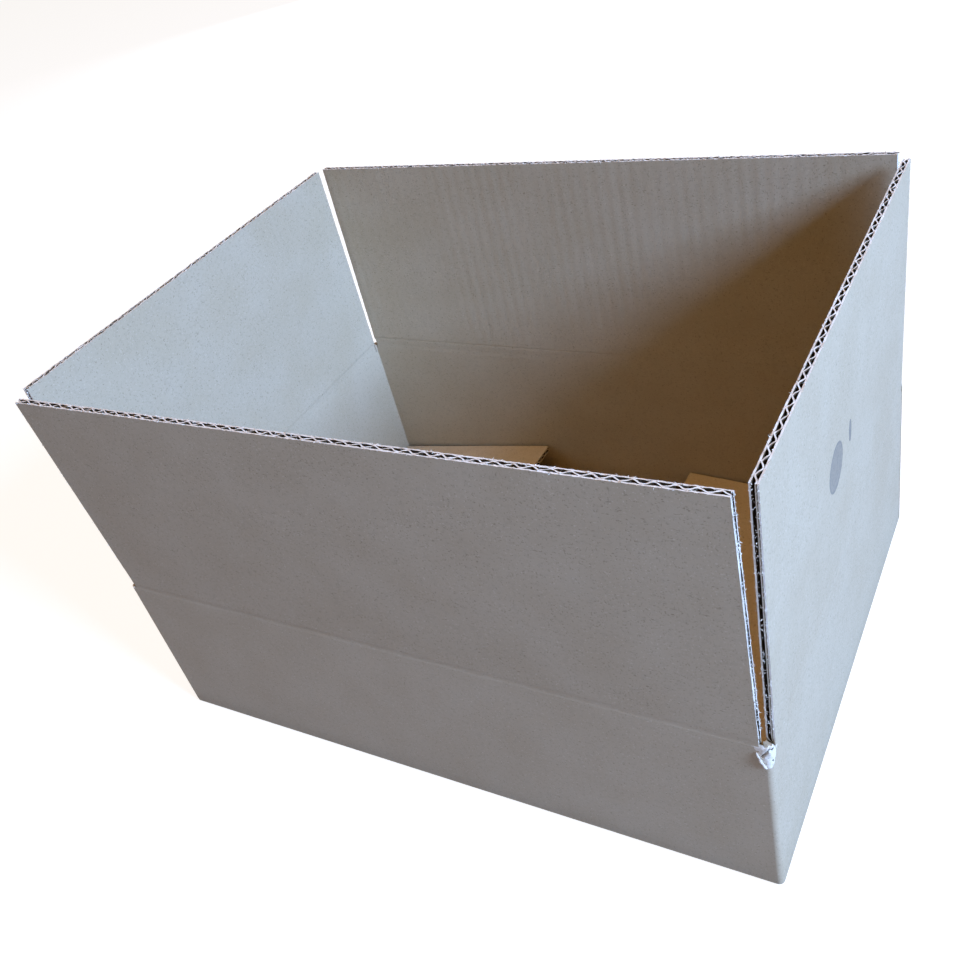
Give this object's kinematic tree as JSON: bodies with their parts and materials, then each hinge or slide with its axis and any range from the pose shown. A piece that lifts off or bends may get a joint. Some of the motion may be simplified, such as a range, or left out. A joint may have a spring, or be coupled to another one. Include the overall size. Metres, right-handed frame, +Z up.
{
  "type": "corrugated cardboard box",
  "caption": "Low rectangular shipping box folded from one sheet of corrugated board, with top flaps that stand open and fold inwards to close it.",
  "frame": {"origin": "middle of the box on the surface that it stands on", "axes": "+Z up, X along the long walls, +Y from the front wall to the back wall"},
  "size_m": [0.3082, 0.2254, 0.1931],
  "materials": {
    "kraft_board": "matt uncoated paper"
  },
  "bodies": {
    "box": {"box_body": "kraft_board"},
    "front_flap": {"front_flap": "kraft_board"},
    "back_flap": {"back_flap": "kraft_board"},
    "right_flap": {"right_flap": "kraft_board"},
    "left_flap": {"left_flap": "kraft_board"}
  },
  "joints": [
    {"name": "front_flap_fold", "type": "hinge", "parent": "box", "child": "front_flap", "pos_m": [0, -0.1096, 0.084], "axis": [-1, 0, 0], "range_deg": [-133.6, 91.4]},
    {"name": "back_flap_fold", "type": "hinge", "parent": "box", "child": "back_flap", "pos_m": [0, 0.1096, 0.084], "axis": [1, 0, 0], "range_deg": [-133.6, 91.4]},
    {"name": "right_flap_fold", "type": "hinge", "parent": "box", "child": "right_flap", "pos_m": [0.1521, 0, 0.0807], "axis": [0, -1, 0], "range_deg": [-129.2, 90.8]},
    {"name": "left_flap_fold", "type": "hinge", "parent": "box", "child": "left_flap", "pos_m": [-0.1521, 0, 0.0807], "axis": [0, 1, 0], "range_deg": [-129.2, 90.8]}
  ]
}
